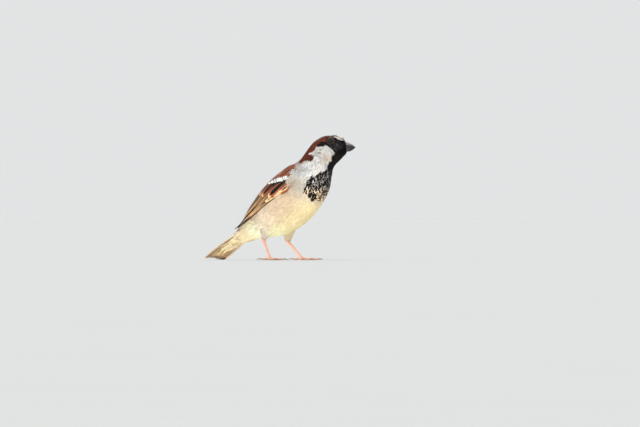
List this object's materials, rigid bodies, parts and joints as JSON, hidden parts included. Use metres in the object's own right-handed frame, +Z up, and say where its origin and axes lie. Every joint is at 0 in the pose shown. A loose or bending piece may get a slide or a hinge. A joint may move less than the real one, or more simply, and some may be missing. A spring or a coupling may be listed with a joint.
{
  "type": "male house sparrow, standing, life-size model",
  "caption": "Life-size adult male house sparrow standing upright with its head turned, a still figure for scenes and displays.",
  "frame": {"origin": "middle of the bounding box, on the floor the bird stands on", "axes": "+X the way the body faces, +Y the bird's left, +Z up; the head is turned 35 degrees from +X towards +Y"},
  "size_m": [0.1282, 0.0426, 0.0996],
  "materials": {
    "plumage": "soft matte contour feathers: cream belly, grey and black breast, chestnut and grey head",
    "flight_feathers": "matte, slightly satin wing and tail feathers, chestnut and dark brown with buff edges",
    "bill": "satin black horn",
    "eye": "wet gloss, dark brown",
    "leg": "satin scaled skin, pinkish brown",
    "claw": "satin dark horn"
  },
  "bodies": {
    "root": {"trunk": "plumage", "neck": "plumage", "head": "plumage", "bill_upper": "bill", "bill_lower": "bill", "eye_right": "eye", "eye_left": "eye", "tail": "flight_feathers", "wing_right": "flight_feathers", "wing_tip_right": "flight_feathers", "thigh_right": "plumage", "shank_right": "leg", "toe_1_right": "leg", "claw_1_right": "claw", "toe_2_right": "leg", "claw_2_right": "claw", "toe_3_right": "leg", "claw_3_right": "claw", "toe_4_right": "leg", "claw_4_right": "claw", "wing_left": "flight_feathers", "wing_tip_left": "flight_feathers", "thigh_left": "plumage", "shank_left": "leg", "toe_1_left": "leg", "claw_1_left": "claw", "toe_2_left": "leg", "claw_2_left": "claw", "toe_3_left": "leg", "claw_3_left": "claw", "toe_4_left": "leg", "claw_4_left": "claw"}
  },
  "joints": []
}
